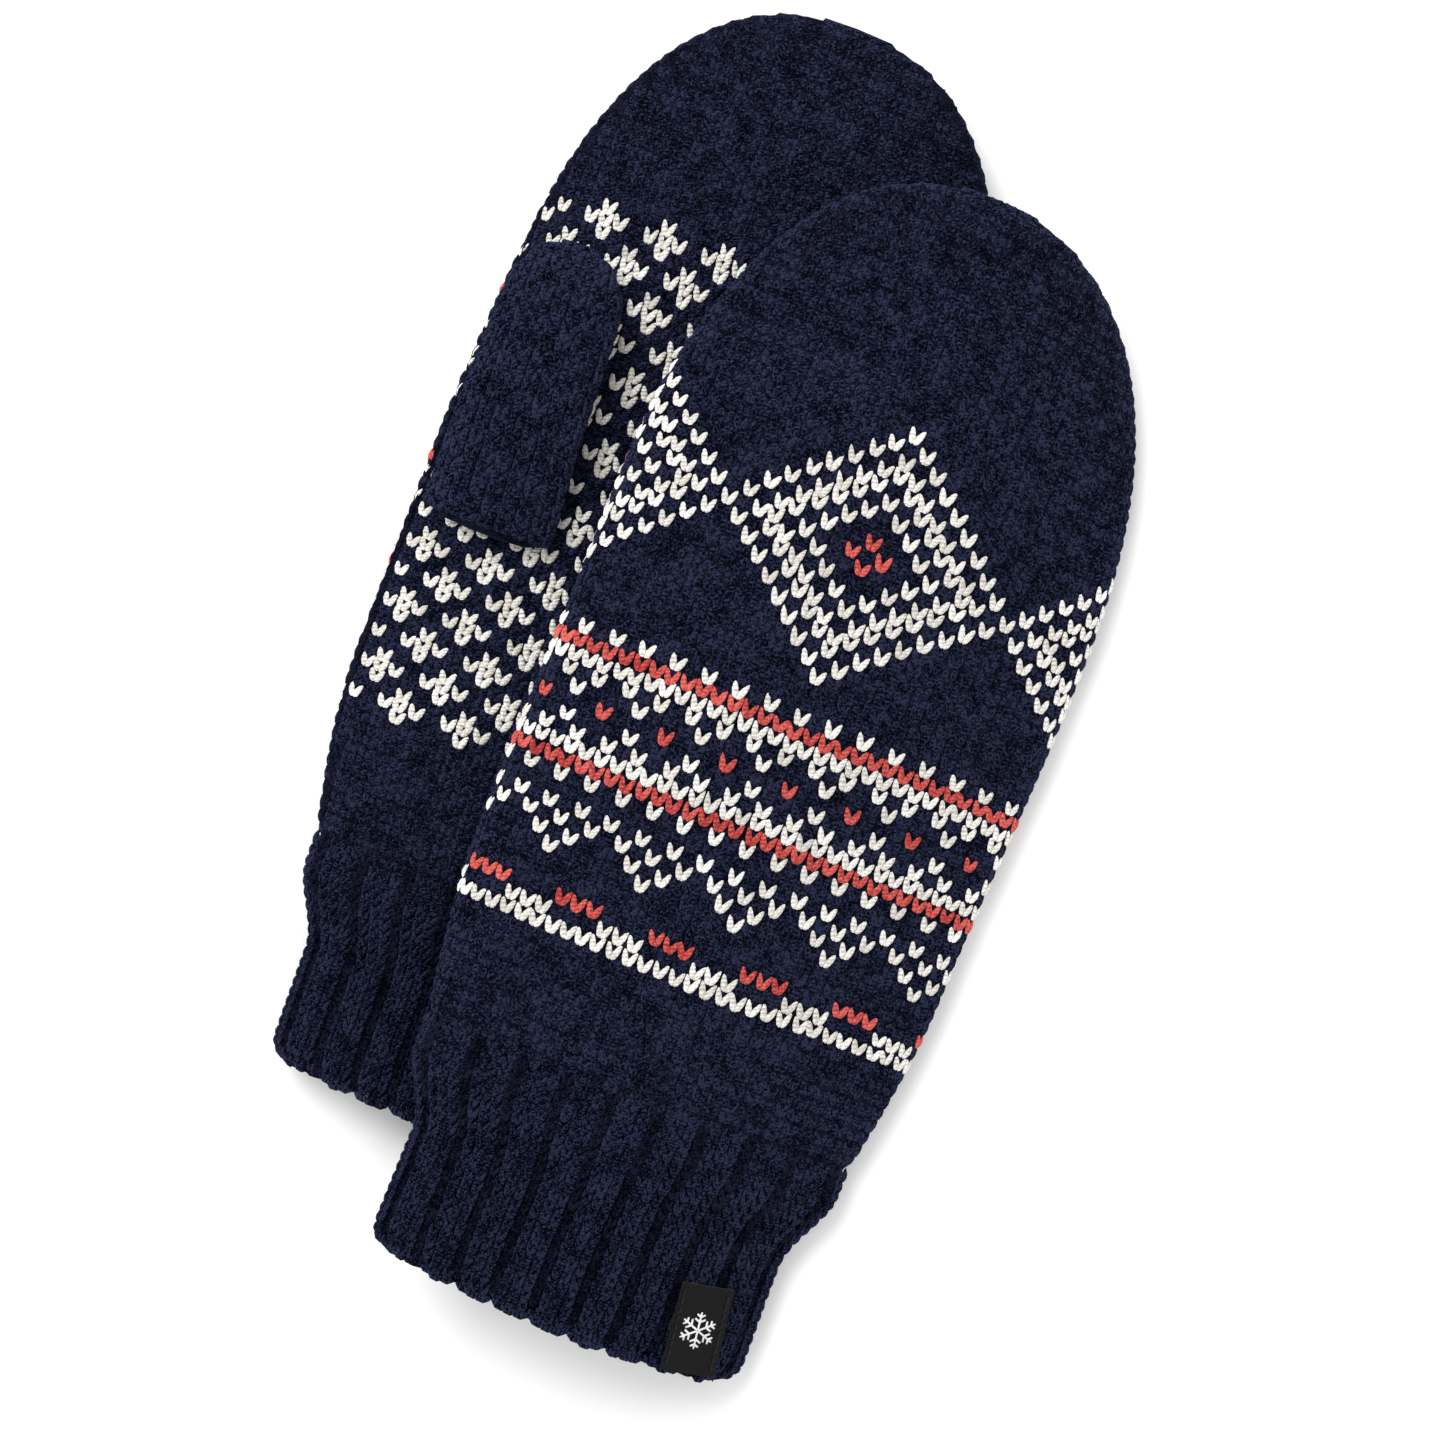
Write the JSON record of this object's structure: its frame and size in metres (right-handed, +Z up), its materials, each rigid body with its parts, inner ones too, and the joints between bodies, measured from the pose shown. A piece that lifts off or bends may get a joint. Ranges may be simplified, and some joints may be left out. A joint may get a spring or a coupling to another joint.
{
  "type": "knitted mittens",
  "caption": "Pair of patterned knitted mittens with ribbed cuffs, lying one over the other, one palm up and one back up.",
  "frame": {"origin": "bottom centre of the pair's bounding box, on the table", "axes": "+Y from the cuffs to the fingertips, +X from the left mitten to the right mitten, +Z up"},
  "size_m": [0.1522, 0.2926, 0.0416],
  "materials": {
    "navy_wool": "soft matt wool yarn, knitted",
    "patterned_wool": "stranded navy, cream and coral wool, knitted",
    "seam_yarn": "linked wool seam",
    "lining_fleece": "brushed knit lining",
    "woven_label": "satin-woven ribbon",
    "label_thread": "polyester sewing thread"
  },
  "bodies": {
    "left_mitten": {"left_back_panel": "patterned_wool", "left_palm_panel": "patterned_wool", "left_side_seam": "seam_yarn", "left_cuff": "navy_wool", "left_cuff_seam": "seam_yarn", "left_hand_lining": "lining_fleece", "left_thumb_seam": "seam_yarn"},
    "left_thumb": {"left_thumb": "navy_wool", "left_thumb_lining": "lining_fleece"},
    "right_mitten": {"right_back_panel": "patterned_wool", "right_palm_panel": "patterned_wool", "right_side_seam": "seam_yarn", "right_cuff_seam": "seam_yarn", "right_hand_lining": "lining_fleece", "right_thumb_seam": "seam_yarn"},
    "right_thumb": {"right_thumb": "navy_wool", "right_thumb_lining": "lining_fleece"},
    "right_cuff": {"right_cuff": "navy_wool", "label": "woven_label", "label_stitch_inner": "label_thread", "label_stitch_outer": "label_thread"}
  },
  "joints": [
    {"name": "left_thumb_swing", "type": "hinge", "parent": "left_mitten", "child": "left_thumb", "pos_m": [-0.0558, 0.0087, 0.0176], "axis": [1, 0, 0], "range_deg": [0, 75]},
    {"name": "right_mitten_lift", "type": "slide", "parent": "left_mitten", "child": "right_mitten", "axis": [0, 0, 1], "range_m": [0, 0.12]},
    {"name": "right_thumb_swing", "type": "hinge", "parent": "right_mitten", "child": "right_thumb", "pos_m": [-0.0171, -0.0176, 0.0273], "axis": [-1, 0, 0], "range_deg": [0, 70]},
    {"name": "right_cuff_fold", "type": "hinge", "parent": "right_mitten", "child": "right_cuff", "pos_m": [0.0209, -0.0961, 0.0354], "axis": [-1, 0, 0], "range_deg": [0, 80]}
  ],
  "couplings": [
    {"joint": "right_thumb_swing", "follows": "right_mitten_lift", "rad_per_m": 10.18}
  ]
}
